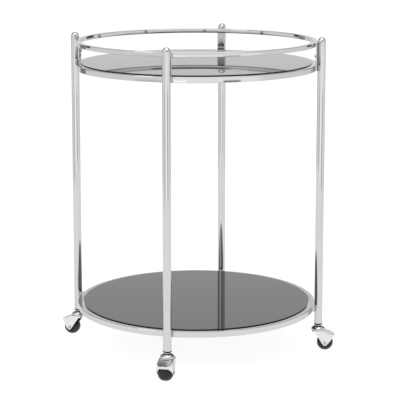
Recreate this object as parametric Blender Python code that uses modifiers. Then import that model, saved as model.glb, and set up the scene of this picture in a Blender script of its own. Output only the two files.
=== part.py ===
"""Round bar cart: two black glass shelves in chrome rings, four chrome posts, four swivel casters.

Metres, +Z up. The origin is on the floor under the middle of the cart. One post stands on each of
-Y (front), +X (right), +Y (rear) and -X (left). Run with: blender --background --python part.py
"""
import math

import bmesh
import bpy
from mathutils import Matrix, Vector

# Overall sizes
CART_HEIGHT = 0.7440
POST_CIRCLE_R = 0.2965
POST_BOTTOM_Z = 0.0640

# Clearances
FIT_GAP = 0.0003
GLASS_EDGE_GAP = 0.0015
WHEEL_SIDE_GAP = 0.0016

# Posts and their domed caps
POST_R = 0.0095
POST_WALL = 0.0012
CAP_PLUG_DEPTH = 0.012
CAP_DOME_STEPS = 4

# Rings and gallery rail, all bent from flat-sided tube
TUBE_WIDTH = 0.0120
TUBE_WALL = 0.0010
RING_HEIGHT = 0.0135
RAIL_HEIGHT = 0.0105
RAIL_DROP = 0.0120
GALLERY_GAP = 0.0430
LOWER_RING_LIFT = 0.0280
DRAIN_HOLE_R = 0.0015
DRAIN_HOLE_ANGLE = math.radians(20)

# Straps that carry the gallery and the upper ring on the posts
STRAP_WIDTH = 0.0180
STRAP_THICKNESS = 0.0024
STRAP_EDGE = 0.0005
SPACER_WIDTH = 0.0150

# Glass, silicone pads and the tabs they sit on
GLASS_THICKNESS = 0.0050
GLASS_PROUD = 0.0020
GLASS_CHAMFER = 0.0006
PAD_R = 0.0050
PAD_THICKNESS = 0.0012
TAB_LENGTH = 0.0180
TAB_WIDTH = 0.0140
TAB_THICKNESS = 0.0020

# Screws
STRAP_SCREW_HEAD_R = 0.0048
STRAP_SCREW_HEAD_H = 0.0040
STRAP_SCREW_R = 0.0020
RING_SCREW_HEAD_R = 0.0027
RING_SCREW_HEAD_H = 0.0020
RING_SCREW_R = 0.0016
SCREW_REACH = 0.0030

# Casters
WHEEL_R = 0.0190
WHEEL_WIDTH = 0.0320
TYRE_SEAT_R = 0.0085
TREAD_FLAT = 0.0040
CROWN_DEPTH = 0.0090
CROWN_STEPS = 4
TRAIL = 0.0165
AXLE_R = 0.0025
AXLE_HEAD_R = 0.0042
AXLE_HEAD_H = 0.0012
FORK_WALL = 0.0020
FORK_TOP_Z = 0.0480
HOOD_END_TOP_Z = 0.0376
HOOD_END_LOW_Z = 0.0310
HOOD_FLAT = 0.0120
HOOD_BACK = 0.0140
HOOD_REACH = 0.0040
HOOD_LIP_LEAN = 0.0045
HOOD_LIP_WIDTH = 0.0200
HOOD_TAPER_X = 0.0250
EAR_SPLAY = 0.10
EAR_BACK_X = -0.0060
EAR_BACK_Z = 0.0430
EAR_TIP_R = 0.0058
STEM_R = 0.0035
STEM_HEAD_R = 0.0055
STEM_HEAD_H = 0.0016
DOME_R = 0.0165
DOME_HEIGHT = 0.0102
COLLAR_R = 0.0072
INSERT_FLANGE_R = 0.0102
INSERT_FLANGE_H = 0.0030
INSERT_DEPTH = 0.0220

# Facets round each kind of turned piece
RING_STEPS = 44
POST_STEPS = 16
SCREW_STEPS = 12
PAD_STEPS = 8
WHEEL_STEPS = 22
STEM_STEPS = 16
MERGE = 0.00001

# Where each post stands, and how far its caster trails from straight outwards
POSTS = {
    "front": (math.radians(-90), math.radians(0)),
    "right": (math.radians(0), math.radians(8)),
    "rear": (math.radians(90), math.radians(0)),
    "left": (math.radians(180), math.radians(-8)),
}

# Worked out from the sizes above
POST_BORE_R = POST_R - POST_WALL
RING_OUTER_R = POST_CIRCLE_R - POST_R - STRAP_THICKNESS - 2 * FIT_GAP
RING_INNER_R = RING_OUTER_R - TUBE_WIDTH
GLASS_R = RING_INNER_R - GLASS_EDGE_GAP
POST_TOP_Z = CART_HEIGHT - POST_R
RAIL_TOP_Z = CART_HEIGHT - RAIL_DROP
RAIL_LOW_Z = RAIL_TOP_Z - RAIL_HEIGHT
UPPER_TOP_Z = RAIL_LOW_Z - GALLERY_GAP
LOWER_TOP_Z = POST_BOTTOM_Z + LOWER_RING_LIFT + RING_HEIGHT
GLASS_LOW = GLASS_THICKNESS - GLASS_PROUD
PAD_TOP = GLASS_LOW + FIT_GAP
TAB_TOP = PAD_TOP + PAD_THICKNESS + FIT_GAP
TAB_MID_R = RING_INNER_R - TAB_LENGTH / 2
PAD_MID_R = RING_INNER_R - TAB_LENGTH + PAD_R + 0.001
STRAP_INNER_R = RING_OUTER_R + FIT_GAP
STRAP_SCREW_Z = RAIL_LOW_Z - GALLERY_GAP / 2
RING_SCREW_Z = LOWER_TOP_Z - RING_HEIGHT + (RING_HEIGHT - GLASS_LOW) / 2
POST_INNER_FACE_R = POST_CIRCLE_R - POST_R
SCREW_TIP_R = POST_INNER_FACE_R + POST_WALL + SCREW_REACH
EAR_INNER_Y = WHEEL_WIDTH / 2 + WHEEL_SIDE_GAP
EAR_OUTER_Y = EAR_INNER_Y + FORK_WALL
HOOD_END = TRAIL + WHEEL_R + HOOD_REACH
DOME_LOW_Z = FORK_TOP_Z + FIT_GAP
COLLAR_TOP_Z = POST_BOTTOM_Z - INSERT_FLANGE_H - 2 * FIT_GAP


def clear_scene():
    """Remove every object that the file starts with."""
    for obj in list(bpy.data.objects):
        bpy.data.objects.remove(obj, do_unlink=True)


def make_collection(name):
    """Add a collection to the scene and return it."""
    collection = bpy.data.collections.new(name)
    bpy.context.scene.collection.children.link(collection)
    return collection


def make_material(name, colour, roughness, metallic):
    """Make a Principled material of one colour."""
    material = bpy.data.materials.new(name)
    material.use_nodes = True
    shader = material.node_tree.nodes["Principled BSDF"]
    shader.inputs["Base Color"].default_value = (*colour, 1.0)
    shader.inputs["Roughness"].default_value = roughness
    shader.inputs["Metallic"].default_value = metallic
    return material


def add_object(name, mesh, collection, material=None):
    """Link a mesh into a collection as a named object."""
    obj = bpy.data.objects.new(name, mesh)
    collection.objects.link(obj)
    if material is not None:
        mesh.materials.append(material)
    return obj


def arc(centre_x, centre_z, radius, start, end, steps):
    """Points along an arc in a profile's own plane, start and end included."""
    points = []
    for i in range(steps + 1):
        angle = start + (end - start) * i / steps
        points.append((centre_x + radius * math.cos(angle), centre_z + radius * math.sin(angle)))
    return points


def turned(name, outline, steps, collection, material, closed=False):
    """Turn an outline of (radius, height) points, listed top to bottom, about the Z axis."""
    mesh = bpy.data.meshes.new(name)
    bm = bmesh.new()
    verts = [bm.verts.new((radius, 0.0, height)) for radius, height in outline]
    for first, second in zip(verts, verts[1:]):
        bm.edges.new((first, second))
    if closed:
        bm.edges.new((verts[-1], verts[0]))
    bm.to_mesh(mesh)
    bm.free()
    obj = add_object(name, mesh, collection, material)
    screw = obj.modifiers.new("Turn", "SCREW")
    screw.axis = "Z"
    screw.angle = math.tau
    screw.steps = steps
    screw.render_steps = steps
    screw.use_merge_vertices = True
    screw.merge_threshold = MERGE
    screw.use_smooth_shade = False
    return obj


def cylinder_mesh(name, radius, length, steps):
    """A capped cylinder along Z, centred on the origin."""
    mesh = bpy.data.meshes.new(name)
    bm = bmesh.new()
    bmesh.ops.create_cone(
        bm, cap_ends=True, segments=steps, radius1=radius, radius2=radius, depth=length
    )
    bm.to_mesh(mesh)
    bm.free()
    return mesh


def box_mesh(name, size):
    """A box centred on the origin."""
    mesh = bpy.data.meshes.new(name)
    bm = bmesh.new()
    bmesh.ops.create_cube(bm, size=1.0)
    bmesh.ops.scale(bm, vec=Vector(size), verts=bm.verts)
    bm.to_mesh(mesh)
    bm.free()
    return mesh


def splayed_mesh(name, outline, half_width):
    """A side view in the XZ plane made into a block whose two sides splay apart downwards."""
    mesh = bpy.data.meshes.new(name)
    bm = bmesh.new()
    sides = []
    for sign in (-1, 1):
        verts = []
        for x, z in outline:
            reach = half_width + EAR_SPLAY * (WHEEL_R - z)
            verts.append(bm.verts.new((x, sign * reach, z)))
        sides.append(bm.faces.new(verts))
    bmesh.ops.bridge_loops(bm, edges=[edge for side in sides for edge in side.edges])
    bmesh.ops.recalc_face_normals(bm, faces=bm.faces)
    bm.to_mesh(mesh)
    bm.free()
    return mesh


def wedge_mesh(name, start_y, end_y, side):
    """The corner that is taken off a hood so that it narrows towards its lip."""
    far_x = 2 * HOOD_END
    slope = (end_y - start_y) / (HOOD_END - HOOD_TAPER_X)
    far_y = start_y + slope * (far_x - HOOD_TAPER_X)
    outer_y = 3 * EAR_OUTER_Y
    plan = [(HOOD_TAPER_X, start_y), (far_x, far_y), (far_x, outer_y), (HOOD_TAPER_X, outer_y)]
    mesh = bpy.data.meshes.new(name)
    bm = bmesh.new()
    face = bm.faces.new([bm.verts.new((x, side * y, -WHEEL_R)) for x, y in plan])
    grown = bmesh.ops.extrude_face_region(bm, geom=[face])
    moved = [item for item in grown["geom"] if isinstance(item, bmesh.types.BMVert)]
    bmesh.ops.translate(bm, vec=Vector((0.0, 0.0, 2 * FORK_TOP_Z)), verts=moved)
    bmesh.ops.recalc_face_normals(bm, faces=bm.faces)
    bm.to_mesh(mesh)
    bm.free()
    return mesh


def hide_cutter(obj):
    """Show a cutter as wire and keep it out of renders."""
    obj.hide_render = True
    obj.display_type = "WIRE"


def combine(target, tool, operation):
    """Cut a tool from a piece or join it on, with a live Boolean."""
    boolean = target.modifiers.new(f"{operation.title()} {tool.name}", "BOOLEAN")
    boolean.operation = operation
    boolean.solver = "EXACT"
    boolean.object = tool
    hide_cutter(tool)


def cylinder_cutter(name, radius, length, matrix, steps=SCREW_STEPS):
    """A cylinder cutter whose length lies along its matrix's Z axis."""
    cutter = add_object(name, cylinder_mesh(name, radius, length, steps), CUTTERS)
    cutter.matrix_world = matrix
    return cutter


def spun(angle, x=0.0, y=0.0, z=0.0):
    """A place given in a post's own directions: X outwards, Y round the ring, Z up."""
    return Matrix.Rotation(angle, 4, "Z") @ Matrix.Translation((x, y, z))


def pointing_in(angle, radius, z):
    """A place whose own Z axis points from a post towards the middle of the cart."""
    return spun(angle, x=radius, z=z) @ Matrix.Rotation(math.radians(-90), 4, "Y")


def tube_outline(outer_r, top_z, height):
    """The two closed loops, wall and bore, of a ring of flat-sided tube."""
    inner_r = outer_r - TUBE_WIDTH
    low_z = top_z - height
    wall = [(outer_r, top_z), (outer_r, low_z), (inner_r, low_z), (inner_r, top_z)]
    outer_bore = outer_r - TUBE_WALL
    inner_bore = inner_r + TUBE_WALL
    top_bore = top_z - TUBE_WALL
    low_bore = low_z + TUBE_WALL
    bore = [(outer_bore, top_bore), (outer_bore, low_bore), (inner_bore, low_bore), (inner_bore, top_bore)]
    return wall, bore


def make_ring(name, top_z, height):
    """A ring of hollow tube, drained through small holes in its underside."""
    wall, bore = tube_outline(RING_OUTER_R, top_z, height)
    ring = turned(name, wall, RING_STEPS, PARTS, CHROME, closed=True)
    hollow = turned(f"{name}_bore", bore, RING_STEPS, CUTTERS, None, closed=True)
    combine(ring, hollow, "DIFFERENCE")
    for post, (angle, _) in POSTS.items():
        place = spun(angle + DRAIN_HOLE_ANGLE, x=RING_OUTER_R - TUBE_WIDTH / 2, z=top_z - height)
        drain = cylinder_cutter(f"{name}_drain_{post}", DRAIN_HOLE_R, TUBE_WALL * 3, place, steps=8)
        combine(ring, drain, "DIFFERENCE")
    return ring


def add_tabs(ring, top_z):
    """Weld four glass tabs to a ring's inner face, half-way between the posts."""
    for post, (angle, _) in POSTS.items():
        name = f"{ring.name}_tab_{post}"
        length = TAB_LENGTH + TUBE_WALL / 2
        tab = add_object(name, box_mesh(name, (length, TAB_WIDTH, TAB_THICKNESS)), CUTTERS)
        middle = TAB_MID_R + TUBE_WALL / 4
        tab.matrix_world = spun(
            angle + math.radians(45), x=middle, z=top_z - TAB_TOP - TAB_THICKNESS / 2
        )
        combine(ring, tab, "UNION")


def add_spacers(ring):
    """Weld a spacer to the lower ring's outer face at each post, and drill it for its screw."""
    depth = POST_INNER_FACE_R - FIT_GAP - RING_OUTER_R + TUBE_WALL / 2
    for post, (angle, _) in POSTS.items():
        name = f"{ring.name}_spacer_{post}"
        height = RING_HEIGHT - 2 * STRAP_EDGE
        spacer = add_object(name, box_mesh(name, (depth, SPACER_WIDTH, height)), CUTTERS)
        middle = POST_INNER_FACE_R - FIT_GAP - depth / 2
        spacer.matrix_world = spun(angle, x=middle, z=LOWER_TOP_Z - RING_HEIGHT / 2)
        combine(ring, spacer, "UNION")
    for post, (angle, _) in POSTS.items():
        length = TUBE_WIDTH + 4 * STRAP_THICKNESS
        place = pointing_in(angle, RING_OUTER_R - TUBE_WIDTH / 2, RING_SCREW_Z)
        drill = cylinder_cutter(f"{ring.name}_drill_{post}", RING_SCREW_R + FIT_GAP, length, place)
        combine(ring, drill, "DIFFERENCE")


def make_glass(name, top_z):
    """A glass disc with a ground edge that stands a little proud of the ring round it."""
    top = top_z + GLASS_PROUD
    low = top - GLASS_THICKNESS
    outline = [
        (0.0, top),
        (GLASS_R - GLASS_CHAMFER, top),
        (GLASS_R, top - GLASS_CHAMFER),
        (GLASS_R, low + GLASS_CHAMFER),
        (GLASS_R - GLASS_CHAMFER, low),
        (0.0, low),
    ]
    turned(name, outline, RING_STEPS, PARTS, GLASS)


def make_pads(prefix, top_z):
    """The silicone pads between a glass disc and its tabs."""
    mesh = cylinder_mesh(f"{prefix}_pad", PAD_R, PAD_THICKNESS, PAD_STEPS)
    mesh.materials.append(SILICONE)
    for number, (angle, _) in enumerate(POSTS.values(), start=1):
        pad = add_object(f"{prefix}_pad_{number}", mesh, PARTS)
        pad.matrix_world = spun(
            angle + math.radians(45), x=PAD_MID_R, z=top_z - PAD_TOP - PAD_THICKNESS / 2
        )


def make_post(post, angle):
    """A post tube, drilled on its inner side for the strap screw and the ring screw."""
    outline = [
        (POST_R, POST_TOP_Z),
        (POST_R, POST_BOTTOM_Z),
        (POST_BORE_R, POST_BOTTOM_Z),
        (POST_BORE_R, POST_TOP_Z),
    ]
    tube = turned(f"post_{post}", outline, POST_STEPS, PARTS, CHROME, closed=True)
    tube.matrix_world = spun(angle, x=POST_CIRCLE_R)
    for kind, radius, z in (
        ("strap", STRAP_SCREW_R, STRAP_SCREW_Z),
        ("ring", RING_SCREW_R, RING_SCREW_Z),
    ):
        place = pointing_in(angle, POST_INNER_FACE_R + POST_WALL / 2, z)
        name = f"post_{post}_{kind}_drill"
        combine(tube, cylinder_cutter(name, radius + FIT_GAP, POST_WALL * 4, place), "DIFFERENCE")


def make_cap(post, angle):
    """A half-round cap with a plug that fits inside the post."""
    dome = arc(0.0, POST_TOP_Z + FIT_GAP, POST_R - FIT_GAP, math.pi / 2, 0.0, CAP_DOME_STEPS)
    dome[0] = (0.0, dome[0][1])
    plug_r = POST_BORE_R - FIT_GAP
    seat = POST_TOP_Z + FIT_GAP
    plug_low = POST_TOP_Z - CAP_PLUG_DEPTH
    outline = dome + [(plug_r, seat), (plug_r, plug_low), (0.0, plug_low)]
    cap = turned(f"post_cap_{post}", outline, POST_STEPS, PARTS, CHROME)
    cap.matrix_world = spun(angle, x=POST_CIRCLE_R)


def make_strap(post, angle):
    """A flat strap from the gallery rail down to the upper ring, drilled for its screw."""
    top = RAIL_TOP_Z - STRAP_EDGE
    low = UPPER_TOP_Z - RING_HEIGHT + STRAP_EDGE
    mesh = box_mesh(f"strap_{post}", (STRAP_THICKNESS, STRAP_WIDTH, top - low))
    strap = add_object(f"strap_{post}", mesh, PARTS, CHROME)
    strap.matrix_world = spun(angle, x=STRAP_INNER_R + STRAP_THICKNESS / 2, z=(top + low) / 2)
    bevel = strap.modifiers.new("Edge", "BEVEL")
    bevel.width = STRAP_EDGE
    bevel.segments = 1
    place = pointing_in(angle, STRAP_INNER_R + STRAP_THICKNESS / 2, STRAP_SCREW_Z)
    name = f"strap_{post}_drill"
    drill = cylinder_cutter(name, STRAP_SCREW_R + FIT_GAP, STRAP_THICKNESS * 3, place)
    combine(strap, drill, "DIFFERENCE")


def make_screw(name, angle, seat_r, z, head_r, head_h, shank_r):
    """A domed screw whose head sits on an inner face and whose shank reaches into the post."""
    head = []
    for i in range(4):
        turn = math.radians(90) * i / 3
        head.append((head_r * math.sin(turn), head_h * math.cos(turn)))
    outline = head + [(shank_r, 0.0), (shank_r, seat_r - SCREW_TIP_R), (0.0, seat_r - SCREW_TIP_R)]
    outline[0] = (0.0, head_h)
    screw = turned(name, outline, SCREW_STEPS, PARTS, STEEL)
    screw.matrix_world = pointing_in(angle, seat_r - FIT_GAP, z)


def make_insert(post, holder):
    """The plastic socket in the foot of a post, with a flange under the tube."""
    flange_top = POST_BOTTOM_Z - FIT_GAP
    flange_low = flange_top - INSERT_FLANGE_H
    top = POST_BOTTOM_Z + INSERT_DEPTH
    plug_r = POST_BORE_R - FIT_GAP
    bore_r = STEM_R + FIT_GAP
    outline = [
        (plug_r, top),
        (plug_r, flange_top),
        (INSERT_FLANGE_R, flange_top),
        (INSERT_FLANGE_R, flange_low),
        (bore_r, flange_low),
        (bore_r, top),
    ]
    insert = turned(f"caster_insert_{post}", outline, STEM_STEPS, PARTS, BLACK_PLASTIC, closed=True)
    insert.parent = holder


def make_stem(post, holder):
    """The caster's pin, with its collar, its domed top race and the head that holds the fork."""
    top = POST_BOTTOM_Z + INSERT_DEPTH - 2 * FIT_GAP
    dome_top = DOME_LOW_Z + DOME_HEIGHT
    plate_low = FORK_TOP_Z - FORK_WALL
    head_top = plate_low - FIT_GAP
    rim = DOME_HEIGHT * 0.35
    outline = [
        (0.0, top),
        (STEM_R, top),
        (STEM_R, COLLAR_TOP_Z),
        (COLLAR_R, COLLAR_TOP_Z),
        (COLLAR_R, dome_top),
        (DOME_R * 0.78, dome_top - DOME_HEIGHT * 0.25),
        (DOME_R, DOME_LOW_Z + rim),
        (DOME_R, DOME_LOW_Z),
        (STEM_R, DOME_LOW_Z),
        (STEM_R, head_top),
        (STEM_HEAD_R, head_top),
        (STEM_HEAD_R, head_top - STEM_HEAD_H),
        (0.0, head_top - STEM_HEAD_H),
    ]
    stem = turned(f"caster_stem_{post}", outline, STEM_STEPS, PARTS, CHROME)
    stem.parent = holder


def fork_outline():
    """A fork's side view: flat top, hood that slopes down to its lip, and ears down to the axle."""
    ear = arc(TRAIL, WHEEL_R, EAR_TIP_R, math.radians(-50), math.radians(-150), 5)
    return [
        (-HOOD_BACK, FORK_TOP_Z),
        (HOOD_FLAT, FORK_TOP_Z),
        (HOOD_END, HOOD_END_TOP_Z),
        (HOOD_END - HOOD_LIP_LEAN, HOOD_END_LOW_Z),
        *ear,
        (EAR_BACK_X, EAR_BACK_Z),
        (-HOOD_BACK, FORK_TOP_Z - FORK_WALL),
    ]


def wheel_space_outline():
    """The side view of the space inside a fork, open below and towards the cart's middle."""
    slope = (FORK_TOP_Z - HOOD_END_TOP_Z) / (HOOD_END - HOOD_FLAT)
    drop = FORK_WALL * math.hypot(1.0, slope)
    lean = HOOD_LIP_LEAN / (HOOD_END_TOP_Z - HOOD_END_LOW_Z)
    inset = FORK_WALL * math.hypot(1.0, lean)
    end = HOOD_END - (inset + lean * drop) / (1.0 + lean * slope)
    bend = HOOD_FLAT - (drop - FORK_WALL) / slope
    under = FORK_TOP_Z - FORK_WALL
    lip_low = HOOD_END_LOW_Z + FIT_GAP
    lip_back = HOOD_END - inset - lean * (HOOD_END_TOP_Z - lip_low)
    return [
        (-2 * HOOD_BACK, under),
        (bend, under),
        (end, HOOD_END_TOP_Z + slope * (HOOD_END - end) - drop),
        (lip_back, lip_low),
        (1.5 * HOOD_END, lip_low),
        (1.5 * HOOD_END, -WHEEL_R),
        (-2 * HOOD_BACK, -WHEEL_R),
    ]


def narrow_hood(block, start_y, end_y, swivel):
    """Take both front corners off a block along the hood's taper."""
    for side in (-1, 1):
        name = f"{block.name}_taper_{'near' if side < 0 else 'far'}"
        wedge = add_object(name, wedge_mesh(name, start_y, end_y, side), CUTTERS)
        wedge.parent = swivel
        combine(block, wedge, "DIFFERENCE")


def make_fork(post, swivel):
    """A hooded fork, cut out for the wheel and drilled for the stem and the axle."""
    name = f"fork_{post}"
    fork = add_object(name, splayed_mesh(name, fork_outline(), EAR_OUTER_Y), PARTS, CHROME)
    fork.parent = swivel
    lip_y = HOOD_LIP_WIDTH / 2
    narrow_hood(fork, EAR_OUTER_Y, lip_y, swivel)
    space_name = f"{name}_wheel_space"
    space_mesh = splayed_mesh(space_name, wheel_space_outline(), EAR_INNER_Y)
    space = add_object(space_name, space_mesh, CUTTERS)
    narrow_hood(space, EAR_INNER_Y, lip_y - FORK_WALL, swivel)
    stem_hole = cylinder_cutter(
        f"{name}_stem_hole", STEM_R + FIT_GAP, FORK_WALL * 3, Matrix(), STEM_STEPS
    )
    stem_hole.location = (0.0, 0.0, FORK_TOP_Z)
    axle_hole = cylinder_cutter(f"{name}_axle_hole", AXLE_R + FIT_GAP, 4 * EAR_OUTER_Y, Matrix())
    axle_hole.location = (TRAIL, 0.0, WHEEL_R)
    axle_hole.rotation_euler = (math.radians(90), 0.0, 0.0)
    for cutter in (space, stem_hole, axle_hole):
        cutter.parent = swivel
        combine(fork, cutter, "DIFFERENCE")


def on_axle(obj, swivel):
    """Lay a turned piece along the axle."""
    obj.parent = swivel
    obj.location = (TRAIL, 0.0, WHEEL_R)
    obj.rotation_euler = (math.radians(90), 0.0, 0.0)


def make_axle(post, swivel):
    """A riveted axle with a flat head outside each ear."""
    head_low = EAR_OUTER_Y + EAR_SPLAY * AXLE_HEAD_R + FIT_GAP
    head_top = head_low + AXLE_HEAD_H
    outline = [
        (0.0, head_top),
        (AXLE_HEAD_R, head_top),
        (AXLE_HEAD_R, head_low),
        (AXLE_R, head_low),
        (AXLE_R, -head_low),
        (AXLE_HEAD_R, -head_low),
        (AXLE_HEAD_R, -head_top),
        (0.0, -head_top),
    ]
    on_axle(turned(f"axle_{post}", outline, SCREW_STEPS, PARTS, STEEL), swivel)


def tread_outline(flats):
    """The tyre's outer side, from one flank over the crown to the other."""
    half = WHEEL_WIDTH / 2
    rise = math.acos(1.0 - CROWN_DEPTH / WHEEL_R)
    span = (half - TREAD_FLAT / 2) / math.sin(rise)
    upper = []
    for i in range(CROWN_STEPS + 1):
        turn = rise * (1.0 - i / CROWN_STEPS)
        upper.append((WHEEL_R * math.cos(turn) * flats, TREAD_FLAT / 2 + span * math.sin(turn)))
    lower = [(radius, -height) for radius, height in reversed(upper)]
    return upper + lower


def make_wheel(post, swivel):
    """A wheel core with a crowned tyre; the tyre's flats lie on the wheel's true radius."""
    half = WHEEL_WIDTH / 2
    flats = 1.0 / math.cos(math.pi / WHEEL_STEPS)
    seat = TYRE_SEAT_R * flats
    tyre_outline = [(seat, half), *tread_outline(flats), (seat, -half)]
    tyre = turned(f"tyre_{post}", tyre_outline, WHEEL_STEPS, PARTS, TYRE, closed=True)
    core_r = (TYRE_SEAT_R - FIT_GAP) * flats
    bore_r = AXLE_R + FIT_GAP
    core_half = half - FIT_GAP
    core_outline = [(core_r, core_half), (core_r, -core_half), (bore_r, -core_half), (bore_r, core_half)]
    core = turned(f"wheel_core_{post}", core_outline, WHEEL_STEPS, PARTS, BLACK_PLASTIC, closed=True)
    on_axle(tyre, swivel)
    on_axle(core, swivel)


def make_caster(post, angle, swing):
    """A whole swivel caster: fixed socket and stem, swivelling fork and rolling wheel."""
    holder = bpy.data.objects.new(f"caster_axis_{post}", None)
    PARTS.objects.link(holder)
    holder.location = (POST_CIRCLE_R * math.cos(angle), POST_CIRCLE_R * math.sin(angle), 0.0)
    swivel = bpy.data.objects.new(f"swivel_axis_{post}", None)
    PARTS.objects.link(swivel)
    swivel.location = holder.location
    swivel.rotation_euler = (0.0, 0.0, angle + swing)
    make_insert(post, holder)
    make_stem(post, holder)
    make_fork(post, swivel)
    make_axle(post, swivel)
    make_wheel(post, swivel)


def make_frame():
    """Posts, caps, straps, rings, gallery rail and their screws."""
    make_ring("gallery_rail", RAIL_TOP_Z, RAIL_HEIGHT)
    upper_ring = make_ring("upper_ring", UPPER_TOP_Z, RING_HEIGHT)
    lower_ring = make_ring("lower_ring", LOWER_TOP_Z, RING_HEIGHT)
    add_tabs(upper_ring, UPPER_TOP_Z)
    add_tabs(lower_ring, LOWER_TOP_Z)
    add_spacers(lower_ring)
    for post, (angle, _) in POSTS.items():
        make_post(post, angle)
        make_cap(post, angle)
        make_strap(post, angle)
        make_screw(
            f"strap_screw_{post}", angle, STRAP_INNER_R, STRAP_SCREW_Z,
            STRAP_SCREW_HEAD_R, STRAP_SCREW_HEAD_H, STRAP_SCREW_R,
        )
        make_screw(
            f"ring_screw_{post}", angle, RING_INNER_R, RING_SCREW_Z,
            RING_SCREW_HEAD_R, RING_SCREW_HEAD_H, RING_SCREW_R,
        )


def make_shelves():
    """The two glass discs and their pads."""
    for prefix, top_z in (("upper", UPPER_TOP_Z), ("lower", LOWER_TOP_Z)):
        make_glass(f"{prefix}_glass", top_z)
        make_pads(prefix, top_z)


clear_scene()
PARTS = make_collection("bar_cart")
CUTTERS = make_collection("bar_cart_cutters")
CHROME = make_material("chrome", (0.60, 0.60, 0.60), 0.06, 1.0)
STEEL = make_material("screw_steel", (0.50, 0.50, 0.50), 0.16, 1.0)
GLASS = make_material("black_glass", (0.010, 0.010, 0.011), 0.02, 0.0)
SILICONE = make_material("silicone", (0.55, 0.55, 0.55), 0.60, 0.0)
BLACK_PLASTIC = make_material("black_plastic", (0.020, 0.020, 0.020), 0.45, 0.0)
TYRE = make_material("tyre_black", (0.016, 0.016, 0.017), 0.55, 0.0)
make_frame()
make_shelves()
for post_name, (post_angle, caster_swing) in POSTS.items():
    make_caster(post_name, post_angle, caster_swing)
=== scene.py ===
"""Looks of a round bar cart: two black glass shelves in chrome rings on four posts with swivel casters.

Metres, +Z up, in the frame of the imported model. Every sub-assembly is a class that models its pieces with
Blender's operators at the places of the CAD nodes that they stand for, and every finish is a small class
that builds one procedural material.
"""
import logging
import math
from collections.abc import Callable, Iterator
from contextlib import contextmanager
from dataclasses import dataclass, field
from enum import Enum
from functools import cached_property
from typing import Any

import bmesh
import bpy
from mathutils import Matrix, Vector

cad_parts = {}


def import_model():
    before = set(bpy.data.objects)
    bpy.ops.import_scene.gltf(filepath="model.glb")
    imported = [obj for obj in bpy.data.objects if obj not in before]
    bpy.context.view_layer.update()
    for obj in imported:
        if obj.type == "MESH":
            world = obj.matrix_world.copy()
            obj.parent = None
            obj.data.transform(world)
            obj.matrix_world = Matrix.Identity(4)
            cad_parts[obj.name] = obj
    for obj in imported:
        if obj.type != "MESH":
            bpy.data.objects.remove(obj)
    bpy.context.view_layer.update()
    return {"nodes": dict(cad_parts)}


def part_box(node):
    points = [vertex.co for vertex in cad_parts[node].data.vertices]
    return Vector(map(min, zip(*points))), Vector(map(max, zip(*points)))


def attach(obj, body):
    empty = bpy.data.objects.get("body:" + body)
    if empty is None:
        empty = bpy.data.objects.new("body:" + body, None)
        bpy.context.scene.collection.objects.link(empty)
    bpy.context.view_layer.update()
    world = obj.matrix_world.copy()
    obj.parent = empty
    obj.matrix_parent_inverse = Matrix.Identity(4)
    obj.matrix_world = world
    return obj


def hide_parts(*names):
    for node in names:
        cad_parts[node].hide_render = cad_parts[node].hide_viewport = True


LOG = logging.getLogger("bar_cart")
MERGE = 1e-6
TINY = 1e-4
SMOOTH_ANGLE = math.radians(30)
FLAT_ANGLE = math.radians(0.6)
QUARTER = math.radians(90)

# Sizes that several pieces share, in metres
TUBE_WIDTH = 0.0120
RING_HEIGHT = 0.0135
FIT_GAP = 0.0003

# About the rings' radius, which turns an angle into a length for patterns that run round them
RING_REACH = 0.28

# Rounding radii of the casters' turned pieces, by the number of the outline's corner
INSERT_ROUNDS = {0: 0.0006, 2: 0.0003, 3: 0.0024}
STEM_ROUNDS = {1: 0.0008, 3: 0.0007, 4: 0.0009, 5: 0.0030, 6: 0.0016, 7: 0.0006, 11: 0.0007}
CORE_ROUNDS = {0: 0.0003, 1: 0.0003, 2: 0.0004, 3: 0.0004, 4: 0.0003}

Point = tuple[float, float]
Place = tuple[float, float, float]
Colour = tuple[float, float, float]


class Element(Enum):
    """The kinds of mesh element that can be picked, with their select modes."""

    VERTS = "VERT"
    EDGES = "EDGE"
    FACES = "FACE"


class Grain(Enum):
    """Which way a plated surface was polished."""

    UPRIGHT = "along the height of a post"
    ROUND = "round a ring"
    NONE = "no direction"


# Modelling bench


def deselect_all() -> None:
    """Leave no object selected."""
    bpy.ops.object.select_all(action="DESELECT")


def take(piece: bpy.types.Object) -> None:
    """Make one piece the only one selected, and active.

    Args:
        piece: The piece to work on.
    """
    deselect_all()
    piece.select_set(True)
    bpy.context.view_layer.objects.active = piece


@contextmanager
def editing(piece: bpy.types.Object, element: Element = Element.FACES) -> Iterator[None]:
    """Edit mode on one piece, with nothing selected at its start.

    Args:
        piece: The piece to edit.
        element: What is selected in this mode.

    Returns:
        A context that goes back to object mode at its end.
    """
    take(piece)
    bpy.ops.object.mode_set(mode="EDIT")
    bpy.ops.mesh.select_mode(type=element.value)
    bpy.ops.mesh.select_all(action="DESELECT")
    yield
    bpy.ops.object.mode_set(mode="OBJECT")


def pick(element: Element, rule: Callable[[Any], bool]) -> None:
    """Select what a rule is true for, in the mesh that is being edited.

    Args:
        element: The kind of element to go through.
        rule: Takes a vertex, edge or face and says whether it is picked.
    """
    mesh = bpy.context.edit_object.data
    shape = bmesh.from_edit_mesh(mesh)
    found = [item for item in getattr(shape, element.name.lower()) if rule(item)]
    for item in found:
        item.select_set(True)
    shape.select_flush_mode()
    bmesh.update_edit_mesh(mesh)


def apply_place(piece: bpy.types.Object) -> None:
    """Put a piece's place into its mesh, so that its object lies at the origin."""
    take(piece)
    bpy.ops.object.transform_apply(location=True, rotation=True, scale=True)


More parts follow.
